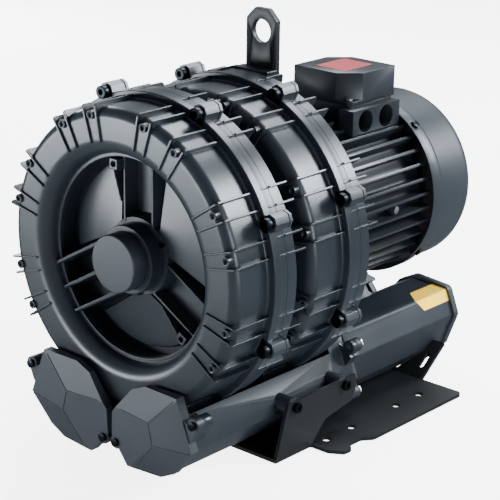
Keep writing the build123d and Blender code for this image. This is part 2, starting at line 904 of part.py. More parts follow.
# Motor frame: flange, barrel, fins and the flat seat of the terminal box
frame_length = motor_back - motor_front
box_middle = (box_front + box_back) / 2
lead_y = box_middle + 30.0
earth_y = 97.6
earth_boss = 6.0
earth_top = 110.0
earth_screw = 3.0
with BuildPart() as motor_frame:
    with BuildSketch(along(motor_front)):
        outline(
            (0, hub_radius + 1.0),
            (0, motor_flange_radius),
            (motor_flange, motor_flange_radius, 2.0),
            (motor_flange, frame_radius),
            (frame_length, frame_radius),
            (frame_length, frame_radius - frame_wall),
            (motor_flange, frame_radius - frame_wall),
            (motor_flange, hub_radius + 1.0),
        )
    revolve(axis=shaft_axis)
    with BuildSketch(across(motor_back)):
        for number in range(motor_fin_count):
            step = 360.0 / motor_fin_count
            strip(frame_radius - 2.0, motor_fin_radius, 0, motor_fin_thick, (number + 0.5) * step)
    extrude(amount=motor_back - motor_fin_front)
    with BuildSketch(outward(earth_y, 0.0, frame_radius - 2.0)):
        Circle(earth_boss)
    extrude(amount=earth_top - frame_radius + 2.0)
    with BuildSketch(outward(earth_y, 0.0, earth_top - 12.0)):
        Circle(earth_screw)
    extrude(amount=14.0, mode=Mode.SUBTRACT)
    with BuildSketch(across(box_back - 2.0)):
        with Locations((0, box_floor - 12.0)):
            Rectangle(2 * lid_half - 8.0, 24.0)
        Circle(frame_radius - 2.0, mode=Mode.SUBTRACT)
    extrude(amount=box_back - box_front - 4.0)
    seat_front_y = gland_front - 1.0
    with BuildSketch(Plane.XY.offset(shaft_height + box_floor)):
        with Locations(((gland_face - lid_half) / 2, (seat_front_y + motor_back + 1.0) / 2)):
            Rectangle(gland_face + lid_half + 2.0, motor_back + 1.0 - seat_front_y)
    extrude(amount=30.0, mode=Mode.SUBTRACT)
    with BuildSketch(Plane.XY.offset(shaft_height + frame_radius - frame_wall - 4.0)):
        with Locations((0, lead_y)):
            Circle(lead_hole)
    extrude(amount=20.0, mode=Mode.SUBTRACT)
    holes_at(motor_bolt_points, motor_bolt + bolt_clearance, frame_front, motor_flange)
save(motor_frame.part, "motor_frame")

with BuildPart() as motor_bolts:
    with BuildSketch(across(frame_front + joint_gap + 7.0)):
        with Locations(*motor_bolt_points):
            Circle(motor_bolt_head)
    extrude(amount=7.0)
    with BuildSketch(across(frame_front + joint_gap + 1.0)):
        with Locations(*motor_bolt_points):
            Circle(motor_bolt - shaft_fit)
    extrude(amount=motor_flange + web_wall - 1.0)
save(motor_bolts.part, "motor_bolts")

with BuildPart() as earth_screw_body:
    with BuildSketch(outward(earth_y, 0.0, earth_top + joint_gap)):
        RegularPolygon(earth_boss - 0.5, 6)
    extrude(amount=4.0)
    with BuildSketch(outward(earth_y, 0.0, earth_top - 11.0)):
        Circle(earth_screw - shaft_fit)
    extrude(amount=12.0)
save(earth_screw_body.part, "earth_screw")

# Stator and rotor
core_outer = frame_radius - frame_wall
rotor_radius = stator_bore - air_gap
save(ring_between(core_front, core_back, core_outer - shaft_fit, stator_bore), "stator_core")
with BuildPart() as stator_windings:
    for front in (core_front - joint_gap - winding_length, core_back + joint_gap):
        add(ring_between(front, front + winding_length, winding_outer, winding_inner))
save(stator_windings.part, "stator_windings")
cage_ring = 8.0
rotor_core = turned(
    core_front,
    (0, core_seat + shaft_fit),
    (0, core_seat + 10.0),
    (-cage_ring, core_seat + 10.0),
    (-cage_ring, rotor_radius - 4.0),
    (0, rotor_radius - 4.0),
    (0, rotor_radius),
    (core_length, rotor_radius),
    (core_length, rotor_radius - 4.0),
    (core_length + cage_ring, rotor_radius - 4.0),
    (core_length + cage_ring, core_seat + 10.0),
    (core_length, core_seat + 10.0),
    (core_length, core_seat + shaft_fit),
)
save(rotor_core, "rotor_core")

# Rear end shield: spigot, disc, bearing hub and four lugs that carry the cowl
cowl_screw_angles = [cowl_screw_angle + 90.0 * n for n in range(4)]
spigot = 6.0
bearing_end = rear_bearing_y + small_width - motor_back
lug_top = sqrt((cowl_band_radius - cowl_wall - joint_gap) ** 2 - (shield_lug / 2) ** 2)
with BuildPart() as rear_end_shield:
    with BuildSketch(along(motor_back)):
        outline(
            (-spigot, small_outer + shaft_fit),
            (-spigot, small_outer + 7.0),
            (3.0, small_outer + 7.0),
            (3.0, core_outer - 8.0),
            (-spigot, core_outer - 8.0),
            (-spigot, core_outer - shaft_fit),
            (joint_gap, core_outer - shaft_fit),
            (joint_gap, frame_radius - 1.0),
            (shield_thick, frame_radius - 1.0, 2.0),
            (shield_thick, small_outer + 7.0),
            (bearing_end + 2.0, small_outer + 7.0),
            (bearing_end + 2.0, small_outer - 5.0),
            (bearing_end, small_outer - 5.0),
            (bearing_end, small_outer + shaft_fit),
        )
    revolve(axis=shaft_axis)
    for turn in cowl_screw_angles:
        with BuildSketch(outward(cowl_screw_y, turn, frame_radius - 4.0)):
            Rectangle(2 * (cowl_screw_y - motor_back - joint_gap), shield_lug)
        extrude(amount=lug_top - frame_radius + 4.0)
    for turn in cowl_screw_angles:
        with BuildSketch(outward(cowl_screw_y, turn, lug_top - 14.0)):
            Circle(cowl_screw)
        extrude(amount=15.0, mode=Mode.SUBTRACT)
save(rear_end_shield.part, "rear_end_shield")

# Fan and cowl
with BuildPart() as cooling_fan:
    with BuildSketch(along(fan_front)):
        outline(
            (0, fan_seat + shaft_fit),
            (0, fan_radius - 1.0),
            (2.5, fan_radius - 1.0),
            (2.5, fan_seat + 10.0),
            (fan_length - 4.0, fan_seat + 10.0),
            (fan_length - 4.0, fan_seat + shaft_fit),
        )
    revolve(axis=shaft_axis)
    with BuildSketch(across(fan_front + fan_length)):
        for number in range(fan_blades):
            strip(fan_seat + 6.0, fan_radius, 0, 3.0, number * 360.0 / fan_blades)
    extrude(amount=fan_length)
save(cooling_fan.part, "cooling_fan")

cowl_length = cowl_back - cowl_front
band_length = cowl_band_back - cowl_front
with BuildPart() as fan_cowl:
    with BuildSketch(along(cowl_front)):
        outline(
            (0, cowl_band_radius - cowl_wall),
            (0, cowl_band_radius),
            (band_length, cowl_band_radius, 4.0),
            (band_length + cowl_taper, cowl_radius, 4.0),
            (cowl_length, cowl_radius, cowl_round),
            (cowl_length, 0),
            (cowl_length - cowl_wall, 0),
            (cowl_length - cowl_wall, cowl_radius - cowl_wall, cowl_round - cowl_wall),
            (band_length + cowl_taper, cowl_radius - cowl_wall, 4.0),
            (band_length, cowl_band_radius - cowl_wall, 4.0),
        )
    revolve(axis=shaft_axis)
    with BuildSketch(across(cowl_back + 1.0)):
        for inner, outer in grille_rings:
            with BuildSketch(mode=Mode.ADD):
                Circle(outer)
                Circle(inner, mode=Mode.SUBTRACT)
        for number in range(grille_bars):
            with BuildSketch(mode=Mode.SUBTRACT):
                strip(0, cowl_radius, 0, grille_bar, number * 360.0 / grille_bars)
    extrude(amount=cowl_wall + 2.0, mode=Mode.SUBTRACT)
    for turn in cowl_screw_angles:
        with BuildSketch(outward(cowl_screw_y, turn, lug_top)):
            Circle(cowl_screw + bolt_clearance)
        extrude(amount=cowl_band_radius - lug_top + 1.0, mode=Mode.SUBTRACT)
save(fan_cowl.part, "fan_cowl")

with BuildPart() as cowl_screws:
    for turn in cowl_screw_angles:
        with BuildSketch(outward(cowl_screw_y, turn, cowl_band_radius + joint_gap)):
            Circle(cowl_screw + 2.5)
        extrude(amount=3.0)
        with BuildSketch(outward(cowl_screw_y, turn, lug_top - 12.0)):
            Circle(cowl_screw - shaft_fit)
        extrude(amount=cowl_band_radius - lug_top + 13.0)
save(cowl_screws.part, "cowl_screws")


def box_plan(inset, chamfer):
    """Plan of the terminal box; two opposite corners are cut off."""
    cut = chamfer + 0.01
    outline(
        (-lid_half, box_front),
        (lid_half - cut, box_front),
        (lid_half, box_front + cut),
        (lid_half, box_back),
        (-lid_half + cut, box_back),
        (-lid_half, box_back - cut),
    )
    if inset:
        offset(amount=-inset, kind=Kind.INTERSECTION)


lid_screw_points = (
    (lid_half - lid_screw_in, box_front + lid_screw_in),
    (lid_screw_in - lid_half, box_back - lid_screw_in),
)
gland_ys = (box_middle - 9.5 - gland_pitch / 2, box_middle - 9.5 + gland_pitch / 2)
gland_low = gland_height - gland_radius - 2.0
base_top = shaft_height + box_seam
with BuildPart() as terminal_box_base:
    with BuildSketch(Plane.XY.offset(shaft_height + box_floor + joint_gap)):
        box_plan(lid_inset, 3.0)
    extrude(amount=box_seam - box_floor - joint_gap)
    with BuildSketch(Plane.YZ.offset(lid_half - box_wall - lid_inset - 2.0)):
        gland_back = cowl_front - 1.5
        with Locations(((gland_front + gland_back) / 2, shaft_height + (gland_low + box_seam) / 2 - 1.0)):
            Rectangle(gland_back - gland_front, box_seam - gland_low - 2.0)
    extrude(amount=gland_face - lid_half + box_wall + lid_inset + 2.0)
    with BuildSketch(Plane.XY.offset(shaft_height + box_floor + box_wall)):
        box_plan(lid_inset + box_wall, lid_chamfer - 6.0)
    extrude(amount=box_seam, mode=Mode.SUBTRACT)
    with BuildSketch(Plane.YZ.offset(gland_face)):
        with Locations(*[(y, shaft_height + gland_height) for y in gland_ys]):
            Circle(gland_radius)
    extrude(amount=lid_half - gland_face - box_wall - lid_inset, mode=Mode.SUBTRACT)
    with BuildSketch(Plane.XY.offset(base_top - lid_screw_depth - 0.5)):
        with Locations(*lid_screw_points):
            Circle(lid_screw)
    extrude(amount=lid_screw_depth + 1.5, mode=Mode.SUBTRACT)
    with BuildSketch(Plane.XY.offset(shaft_height + box_floor - 1.0)):
        with Locations((0, lead_y)):
            Circle(lead_hole)
    extrude(amount=box_wall + 2.0, mode=Mode.SUBTRACT)
    with BuildSketch(across(box_back + 1.0)):
        Circle(cowl_band_radius + 1.0)
    extrude(amount=box_back + 1.5 - cowl_front, mode=Mode.SUBTRACT)
save(terminal_box_base.part, "terminal_box_base")

with BuildPart() as terminal_box_gasket:
    with BuildSketch(Plane.XY.offset(base_top + joint_gap)):
        box_plan(lid_inset + 1.0, lid_chamfer)
        with BuildSketch(mode=Mode.SUBTRACT):
            box_plan(lid_inset + box_wall, lid_chamfer)
    extrude(amount=lid_gasket - 2 * joint_gap)
save(terminal_box_gasket.part, "terminal_box_gasket")

lid_base = base_top + lid_gasket
lid_height = lid_top + shaft_height - lid_base
with BuildPart() as terminal_box_lid:
    with BuildSketch(Plane.XY.offset(lid_base)):
        box_plan(0, 6.0)
    extrude(amount=lid_rim)
    with BuildSketch(Plane.XY.offset(lid_base)):
        box_plan(0, lid_chamfer)
    extrude(amount=lid_height)
    with BuildSketch(Plane.XY.offset(lid_base)):
        box_plan(lid_wall, lid_chamfer)
    extrude(amount=lid_height - lid_wall, mode=Mode.SUBTRACT)
    with BuildSketch(Plane.XY.offset(lid_base)):
        with Locations(*lid_screw_points):
            Circle(lid_screw + bolt_clearance)
    extrude(amount=lid_rim, mode=Mode.SUBTRACT)
save(terminal_box_lid.part, "terminal_box_lid")

with BuildPart() as lid_screws:
    with BuildSketch(Plane.XY.offset(lid_base + lid_rim + joint_gap)):
        with Locations(*lid_screw_points):
            Circle(lid_screw + 2.0)
    extrude(amount=3.0)
    with BuildSketch(Plane.XY.offset(base_top - lid_screw_depth)):
        with Locations(*lid_screw_points):
            Circle(lid_screw - shaft_fit)
    extrude(amount=lid_rim + lid_gasket + lid_screw_depth + 1.0)
save(lid_screws.part, "lid_screws")

stud_points = [(x, box_middle + y) for x in (-18.0, 0.0, 18.0) for y in (-9.0, 9.0)]
with BuildPart() as terminal_board:
    with BuildSketch(Plane.XY.offset(shaft_height + box_floor + box_wall + joint_gap)):
        with Locations((0, box_middle)):
            Rectangle(58.0, 34.0)
    extrude(amount=10.0)
    with BuildSketch(Plane.XY.offset(shaft_height + box_floor + box_wall + 9.0)):
        with Locations(*stud_points):
            Circle(2.5)
    extrude(amount=16.0)
save(terminal_board.part, "terminal_board")

# Silencers: the right one is built, the left one is its mirror image
cover_back = cap_y + ridge_height + cap_thick
housing_front = cover_back + joint_gap
saddle_radius = flange_radius + saddle_gap
saddle_back = second_split + fin_rear + 6.0


def both_sides(piece, name):
    """Saves the right piece and its mirror image."""
    save(piece, f"{name}_right")
    save(mirror(piece, about=Plane.YZ), f"{name}_left")


def silencer_plan(inset):
    """Outline of a silencer housing in a sketch."""
    outline(*cap_outline)
    if inset:
        offset(amount=-inset, kind=Kind.INTERSECTION)


def tube_plan(inset):
    """Outline of a silencer tube in a sketch."""
    outline(*[(x, z, tube_round) for x, z in tube_outline])
    if inset:
        offset(amount=-inset, kind=Kind.INTERSECTION)


def ears(places, radius):
    """Round ears with a web to the middle of the silencer."""
    for across_x, up in places:
        reach = sqrt(across_x**2 + up**2)
        turn = Vector(1, 0, 0).get_signed_angle(Vector(across_x, up, 0))
        with Locations((silencer_x, silencer_z)):
            with Locations((across_x, up)):
                Circle(radius)
            with Locations((across_x * 0.75, up * 0.75)):
                Rectangle(reach * 0.5, 2 * radius, rotation=turn)


def ear_points(places):
    """Ear centres in the silencer's cross section."""
    return [(silencer_x + across_x, silencer_z + up) for across_x, up in places]


def roof_plane(*corners):
    """Plane through three points of the cap's roof that faces forward."""
    points = [Vector(silencer_x + u, cap_y + depth, silencer_z + v) for u, v, depth in corners]
    normal = (points[1] - points[0]).cross(points[2] - points[0])
    return Plane(origin=points[0], z_dir=normal if normal.Y < 0 else -normal)


ridge_top = (-3.5, 14.0, 0.0)
ridge_bottom = (3.5, -14.4, 0.0)
hip_left = (-53.8, 15.1, ridge_height)
hip_top = (35.1, 52.2, ridge_height)
hip_right = (50.0, 20.0, ridge_height)
hip_low_right = (61.6, -9.3, ridge_height)
hip_low = (-26.6, -49.4, ridge_height)
roof = (
    (ridge_top, ridge_bottom, hip_right),
    (ridge_top, ridge_bottom, hip_left),
    (ridge_top, hip_left, hip_top),
    (ridge_bottom, hip_low_right, hip_low),
)
ear_thick = cap_thick - 2.0
with BuildPart() as silencer_cap:
    with BuildSketch(across(cover_back, 0.0)):
        silencer_plan(0)
    extrude(amount=ridge_height + cap_thick)
    for corners in roof:
        split(bisect_by=roof_plane(*corners), keep=Keep.BOTTOM)
    with BuildSketch(across(cover_back, 0.0)):
        ears(cap_ears, cap_ear)
    extrude(amount=ear_thick)
    with BuildSketch(across(cover_back, 0.0)):
        silencer_plan(housing_step + housing_wall)
        with BuildSketch(across(cover_back, 0.0), mode=Mode.SUBTRACT):
            with Locations((0, shaft_height)):
                Circle(saddle_radius + housing_wall)
    extrude(amount=cap_pocket, mode=Mode.SUBTRACT)
    with BuildSketch(across(cover_back, 0.0)):
        with Locations(*ear_points(cap_ears)):
            Circle(cap_screw + bolt_clearance)
    extrude(amount=ear_thick, mode=Mode.SUBTRACT)
    with BuildSketch(across(cover_back - ear_thick, 0.0)):
        with Locations(*ear_points(cap_ears)):
            Circle(cap_screw + cap_screw_rim + joint_gap)
    extrude(amount=ridge_height + cap_thick, mode=Mode.SUBTRACT)
both_sides(silencer_cap.part, "silencer_cap")

with BuildPart() as cap_screws:
    with BuildSketch(across(cover_back - ear_thick - joint_gap, 0.0)):
        with Locations(*ear_points(cap_ears)):
            Circle(cap_screw + cap_screw_rim)
    extrude(amount=4.0)
    with BuildSketch(across(cover_back + 12.0, 0.0)):
        with Locations(*ear_points(cap_ears)):
            Circle(cap_screw - shaft_fit)
    extrude(amount=ear_thick + 13.0)
    mirror(about=Plane.YZ)
save(cap_screws.part, "cap_screws")

# Silencer housings: saddle under the rings, ears at both ends, pads for the bracket bolts
neck_backs = [split - neck_front_depth + neck_length + 2 * neck_wall for split in (first_split, second_split)]
pad_inner = 126.0
pad_depth = 12.0
with BuildPart() as housing_void:
    with BuildSketch(across(housing_back, 0.0)):
        silencer_plan(housing_step + housing_wall)
    extrude(amount=housing_back - housing_front)
    with BuildSketch(across(saddle_back + housing_wall)):
        Circle(saddle_radius + housing_wall)
    extrude(amount=saddle_back + housing_wall - housing_front, mode=Mode.SUBTRACT)

with BuildPart() as silencer_housing:
    with BuildSketch(across(housing_back, 0.0)):
        silencer_plan(housing_step)
    extrude(amount=housing_back - housing_front)
    with BuildSketch(across(housing_front + 14.0, 0.0)):
        ears(cap_ears, cap_ear)
    extrude(amount=14.0)
    with BuildSketch(across(housing_back, 0.0)):
        ears(joint_ears, joint_ear)
    extrude(amount=joint_flange)
    with BuildSketch(Plane.YZ.offset(pad_inner)):
        with Locations(*[(y, wall_bolt_z) for y in wall_bolt_y]):
            Circle(wall_pad)
    extrude(amount=wall_x - sheet - joint_gap - pad_inner)
    with BuildSketch(across(saddle_back)):
        Circle(saddle_radius)
    extrude(amount=saddle_back - housing_front, mode=Mode.SUBTRACT)
    add(housing_void.part, mode=Mode.SUBTRACT)
    for back in neck_backs:
        with BuildSketch(across(back + joint_gap, 0.0)):
            with Locations((silencer_x, silencer_z)):
                Rectangle(neck_width + 2 * neck_wall + 2 * joint_gap, 70.0)
        extrude(amount=neck_length + 2 * neck_wall + 2 * joint_gap, mode=Mode.SUBTRACT)
    with BuildSketch(across(housing_front + 14.0, 0.0)):
        with Locations(*ear_points(cap_ears)):
            Circle(cap_screw)
    extrude(amount=14.0, mode=Mode.SUBTRACT)
    with BuildSketch(across(housing_back, 0.0)):
        with Locations(*ear_points(joint_ears)):
            Circle(joint_bolt)
    extrude(amount=joint_flange, mode=Mode.SUBTRACT)
    with BuildSketch(Plane.YZ.offset(wall_x)):
        with Locations(*[(y, wall_bolt_z) for y in wall_bolt_y]):
            Circle(wall_bolt)
    extrude(amount=-pad_depth - sheet, mode=Mode.SUBTRACT)
both_sides(silencer_housing.part, "silencer_housing")

# Silencer tubes with their front flange, closed end and port
tube_front = housing_back + joint_gap
plate_front_y = tube_back - end_flange
with BuildPart() as silencer_tube:
    with BuildSketch(across(tube_back, 0.0)):
        tube_plan(0)
    extrude(amount=tube_back - tube_front)
    with BuildSketch(across(tube_front + joint_flange, 0.0)):
        silencer_plan(housing_step)
        ears(joint_ears, joint_ear)
    extrude(amount=joint_flange)
    with BuildSketch(across(tube_back, 0.0)):
        tube_plan(-end_flange_grow)
    extrude(amount=end_flange)
    with BuildSketch(across(tube_back + port_boss_length, 0.0)):
        with Locations((port_x, port_z)):
            Circle(port_boss)
    extrude(amount=port_boss_length + 1.0)
    with BuildSketch(across(plate_front_y, 0.0)):
        tube_plan(tube_wall)
    extrude(amount=plate_front_y - tube_front, mode=Mode.SUBTRACT)
    with BuildSketch(across(tube_back + port_boss_length, 0.0)):
        with Locations((port_x, port_z)):
            Circle(port_radius)
    extrude(amount=port_boss_length + end_flange + 1.0, mode=Mode.SUBTRACT)
    with BuildSketch(across(tube_front + joint_flange, 0.0)):
        with Locations(*ear_points(joint_ears)):
            Circle(joint_bolt + bolt_clearance)
    extrude(amount=joint_flange, mode=Mode.SUBTRACT)
both_sides(silencer_tube.part, "silencer_tube")

with BuildPart() as foam_liner:
    with BuildSketch(across(plate_front_y - 2.0, 0.0)):
        tube_plan(tube_wall + foam_gap)
        with BuildSketch(mode=Mode.SUBTRACT):
            tube_plan(tube_wall + foam_gap + foam_thick)
    extrude(amount=plate_front_y - 4.0 - tube_front)
both_sides(foam_liner.part, "foam_liner")

with BuildPart() as joint_bolts:
    with BuildSketch(across(tube_front + joint_flange + joint_gap + 5.0, 0.0)):
        with Locations(*ear_points(joint_ears)):
            RegularPolygon(joint_bolt + 3.0, 6)
    extrude(amount=5.0)
    with BuildSketch(across(tube_front + joint_flange + joint_gap + 1.0, 0.0)):
        with Locations(*ear_points(joint_ears)):
            Circle(joint_bolt - shaft_fit)
    extrude(amount=2 * joint_flange)
    mirror(about=Plane.YZ)
save(joint_bolts.part, "silencer_joint_bolts")

# Bracket: plate with two wings, two walls and two tongues bent up behind
foot_points = [
    (side * foot_x, row * y) for side in (-1, 1) for row in (-1, 1) for y in (foot_outer_y, foot_inner_y)
]
wing = (
    (wall_x, wing_front, 4.0),
    (wing_x - 18.0, wing_front, 14.0),
    (wing_x, wing_front + 12.0, 6.0),
    (wing_x, wing_front + 26.0, 6.0),
    (wing_notch_x, wing_front + 34.0, 8.0),
    (wing_notch_x, wing_front + 58.0, 8.0),
    (wing_x, wing_front + 72.0, 8.0),
    (wing_x, plate_back, 8.0),
)
with BuildPart() as base_bracket:
    with BuildSketch():
        outline(
            (-wall_x, plate_front),
            (wall_x, plate_front),
            *wing,
            *[(-x, y, r) for x, y, r in reversed(wing)],
        )
        with Locations(*foot_points):
            Circle(foot_hole, mode=Mode.SUBTRACT)
    extrude(amount=sheet)
    for side in (-1, 1):
        with BuildSketch(Plane.YZ.offset(side * wall_x)):
            outline(
                (plate_front, 0),
                (wall_slant_y, wall_height),
                (wall_back, wall_height),
                *wall_arch,
            )
            with Locations(*[(y, wall_bolt_z) for y in wall_bolt_y]):
                Circle(wall_bolt + bolt_clearance, mode=Mode.SUBTRACT)
        extrude(amount=-side * sheet)
    rise = radians(tongue_angle)
    for side in (-1, 1):
        start = tongue_inner if side > 0 else -tongue_outer
        with BuildSketch(Plane.YZ.offset(start)):
            outline(
                (plate_back - 6.0, 0),
                (plate_back, 0),
                (plate_back + tongue_length * cos(rise), tongue_length * sin(rise)),
                (
                    plate_back + tongue_length * cos(rise) - sheet * sin(rise),
                    tongue_length * sin(rise) + sheet * cos(rise),
                ),
                (plate_back - sheet * tan(rise / 2), sheet),
                (plate_back - 6.0, sheet),
            )
        extrude(amount=tongue_outer - tongue_inner)
    with BuildSketch(Plane.XY):
        with Locations((tongue_slot_x, plate_back + 22.0), (-tongue_slot_x, plate_back + 22.0)):
            SlotOverall(20.0, 7.0, rotation=90)
    extrude(amount=60.0, mode=Mode.SUBTRACT)
    with BuildSketch(across(tube_back, 0.0)):
        tube_plan(-tongue_gap)
    extrude(amount=tube_back - plate_back - 0.5, mode=Mode.SUBTRACT)
    with BuildSketch(across(tube_back, 0.0)):
        tube_plan(-tongue_gap)
        mirror(about=Plane.YZ)
    extrude(amount=tube_back - plate_back - 0.5, mode=Mode.SUBTRACT)
save(base_bracket.part, "base_bracket")

with BuildPart() as bracket_bolts:
    with BuildSketch(Plane.YZ.offset(wall_x + joint_gap)):
        with Locations(*[(y, wall_bolt_z) for y in wall_bolt_y]):
            Circle(wall_bolt_head)
    extrude(amount=5.0)
    with BuildSketch(Plane.YZ.offset(wall_x + joint_gap + 2.5)):
        with Locations(*[(y, wall_bolt_z) for y in wall_bolt_y]):
            RegularPolygon(wall_bolt, 6)
    extrude(amount=3.0, mode=Mode.SUBTRACT)
    with BuildSketch(Plane.YZ.offset(wall_x + joint_gap + 1.0)):
        with Locations(*[(y, wall_bolt_z) for y in wall_bolt_y]):
            Circle(wall_bolt - shaft_fit)
    extrude(amount=-sheet - pad_depth)
    mirror(about=Plane.YZ)
save(bracket_bolts.part, "bracket_bolts")

# Lifting eye on the back of the second ring
eye_front = eye_y + joint_gap
with BuildPart() as lifting_eye:
    with BuildSketch(across(eye_front + eye_thick, 0.0)):
        outline(
            (-eye_half, eye_bottom),
            (eye_half, eye_bottom),
            (eye_half, eye_top - eye_chamfer),
            (eye_half - eye_chamfer, eye_top),
            (eye_chamfer - eye_half, eye_top),
            (-eye_half, eye_top - eye_chamfer),
        )
        with Locations((0, eye_hole_z)):
            Circle(eye_hole, mode=Mode.SUBTRACT)
        with Locations((-eye_bolt_x, eye_bolt_z), (eye_bolt_x, eye_bolt_z)):
            Circle(eye_bolt + bolt_clearance, mode=Mode.SUBTRACT)
    extrude(amount=eye_thick)
save(lifting_eye.part, "lifting_eye")

with BuildPart() as eye_bolts:
    with BuildSketch(across(eye_front + eye_thick + joint_gap + 5.0)):
        with Locations(*eye_bolt_points):
            RegularPolygon(eye_bolt + 3.0, 6)
    extrude(amount=5.0)
    with BuildSketch(across(eye_front + eye_thick + joint_gap + 1.0)):
        with Locations(*eye_bolt_points):
            Circle(eye_bolt - shaft_fit)
    extrude(amount=eye_thick + 13.0)
save(eye_bolts.part, "eye_bolts")
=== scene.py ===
"""Side channel blower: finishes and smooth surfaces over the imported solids.

Metres, in the solids' own frame: X to the right seen from the front cover, Y along the shaft
towards the motor, Z up, the origin in the middle of the foot-bolt rectangle on the underside.
Sizes of the machine are written in millimetres and turned into metres by MM. A place along the
shaft is counted from the parting face of its ring, and a height in "over the shaft" from the
shaft line.
"""
import json
from math import cos, radians, sin

import bpy
import numpy as np
from mathutils import Matrix, Vector


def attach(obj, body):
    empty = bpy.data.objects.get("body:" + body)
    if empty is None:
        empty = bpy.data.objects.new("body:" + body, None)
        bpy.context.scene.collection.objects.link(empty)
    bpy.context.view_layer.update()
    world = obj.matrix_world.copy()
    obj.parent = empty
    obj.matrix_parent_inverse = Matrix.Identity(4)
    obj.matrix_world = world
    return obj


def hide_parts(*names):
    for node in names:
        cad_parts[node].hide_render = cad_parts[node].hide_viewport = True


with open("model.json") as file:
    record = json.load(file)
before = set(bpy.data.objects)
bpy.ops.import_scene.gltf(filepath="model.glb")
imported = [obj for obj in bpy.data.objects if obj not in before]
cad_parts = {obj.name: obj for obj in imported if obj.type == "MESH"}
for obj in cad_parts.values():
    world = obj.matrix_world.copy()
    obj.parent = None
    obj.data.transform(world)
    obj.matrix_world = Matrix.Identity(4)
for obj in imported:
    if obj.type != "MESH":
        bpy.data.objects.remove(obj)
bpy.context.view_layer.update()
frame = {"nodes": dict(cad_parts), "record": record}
nodes = frame["nodes"]
scene = bpy.context.scene
MM = 0.001
SHAFT_Z = 0.255


# camera, floor and light

VIEW_TURN = radians(41.16)
VIEW_LIFT = radians(18.72)
VIEW_ROLL = radians(0.93)
EYE = (1.4290, -1.7007, 0.9483)
SENSOR = 36.0
FOCAL_PIXELS = 1751.7
PHOTO_PIXELS = 500.0


def photo_camera():
    """Camera solved from the photograph: turned 41 degrees round the machine, 19 above it."""
    back = Vector((sin(VIEW_TURN) * cos(VIEW_LIFT), -cos(VIEW_TURN) * cos(VIEW_LIFT), sin(VIEW_LIFT)))
    side = Vector((cos(VIEW_TURN), sin(VIEW_TURN), 0.0))
    up = back.cross(side)
    right = side * cos(VIEW_ROLL) + up * sin(VIEW_ROLL)
    top = up * cos(VIEW_ROLL) - side * sin(VIEW_ROLL)
    data = bpy.data.cameras.new("photo_camera")
    data.sensor_width = SENSOR
    data.lens = FOCAL_PIXELS * SENSOR / PHOTO_PIXELS
    data.clip_end = 50.0
    camera = bpy.data.objects.new("photo_camera", data)
    camera.matrix_world = Matrix((right, top, back)).transposed().to_4x4()
    camera.location = EYE
    scene.collection.objects.link(camera)
    scene.camera = camera


def node_material(name):
    """New material with its node tree and its surface shader."""
    material = bpy.data.materials.new(name)
    material.use_nodes = True
    return material, material.node_tree, material.node_tree.nodes["Principled BSDF"]


FLOOR_HALF = 9.0
FLOOR_NEAR = -6.0
FLOOR_FAR = 5.0
WALL_CURVE = 3.0


def stage_floor():
    """Pale floor and wall behind in one sheet, square to the view. Its near half is flat from
    FLOOR_NEAR to FLOOR_FAR; the far half climbs along a quarter circle of radius WALL_CURVE, with
    a straight end added over its last fifth."""
    u = np.linspace(-FLOOR_HALF, FLOOR_HALF, 3)
    v = np.linspace(0.0, 1.0, 40)
    arc = (v - 0.5) * np.pi
    flat = FLOOR_NEAR + 2.0 * (FLOOR_FAR - FLOOR_NEAR) * v
    run = np.where(v < 0.5, flat, FLOOR_FAR + WALL_CURVE * np.sin(arc))
    climb = WALL_CURVE * (1.0 - np.cos(arc)) + 8.0 * np.maximum(v - 0.9, 0.0)
    rise = np.where(v < 0.5, 0.0, climb)
    away = (-sin(VIEW_TURN), cos(VIEW_TURN))
    side = (cos(VIEW_TURN), sin(VIEW_TURN))
    points = (side[0] * u[None, :] + away[0] * run[:, None],
              side[1] * u[None, :] + away[1] * run[:, None],
              np.repeat(rise[:, None], len(u), 1))
    floor = grid_piece("studio_floor", np.stack(points, -1), False, False)
    material, tree, shader = node_material("studio_floor")
    shader.inputs["Base Color"].default_value = (0.93, 0.93, 0.94, 1)
    shader.inputs["Roughness"].default_value = 0.12
    shader.inputs["Emission Color"].default_value = (1.0, 1.0, 1.0, 1)
    shader.inputs["Emission Strength"].default_value = 5.0
    floor.data.materials.append(material)
    floor.visible_glossy = False


def softbox(name, place, target, size, power):
    """Soft rectangular studio light, slightly cool, that looks at a point."""
    data = bpy.data.lights.new(name, "AREA")
    data.shape = "RECTANGLE"
    data.size, data.size_y = size
    data.energy = power
    data.color = (0.86, 0.94, 1.0)
    lamp = bpy.data.objects.new(name, data)
    lamp.location = place
    lamp.rotation_euler = (Vector(target) - Vector(place)).to_track_quat("-Z", "Y").to_euler()
    scene.collection.objects.link(lamp)


def studio_light():
    """Boxes behind on the right, tall at the right, above, low in front and at the left, and a
    dim surround."""
    middle = (0.0, -0.1, 0.25)
    hub = (0.05, -0.3, 0.25)
    softbox("back_right_box", (1.7, 1.9, 1.75), middle, (0.7, 1.1), 170.0)
    softbox("right_box", (3.0, -0.5, 0.9), middle, (0.3, 1.8), 55.0)
    softbox("top_box", (-0.5, 1.7, 2.5), middle, (1.6, 0.8), 90.0)
    softbox("front_box", (-1.0, -1.5, 0.13), hub, (1.1, 0.22), 26.0)
    softbox("left_box", (-2.5, 1.2, 0.9), middle, (0.5, 1.6), 60.0)
    world = bpy.data.worlds.new("surround")
    world.use_nodes = True
    world.node_tree.nodes["Background"].inputs["Color"].default_value = (0.85, 0.92, 1.0, 1)
    world.node_tree.nodes["Background"].inputs["Strength"].default_value = 0.3
    scene.world = world


# surfaces

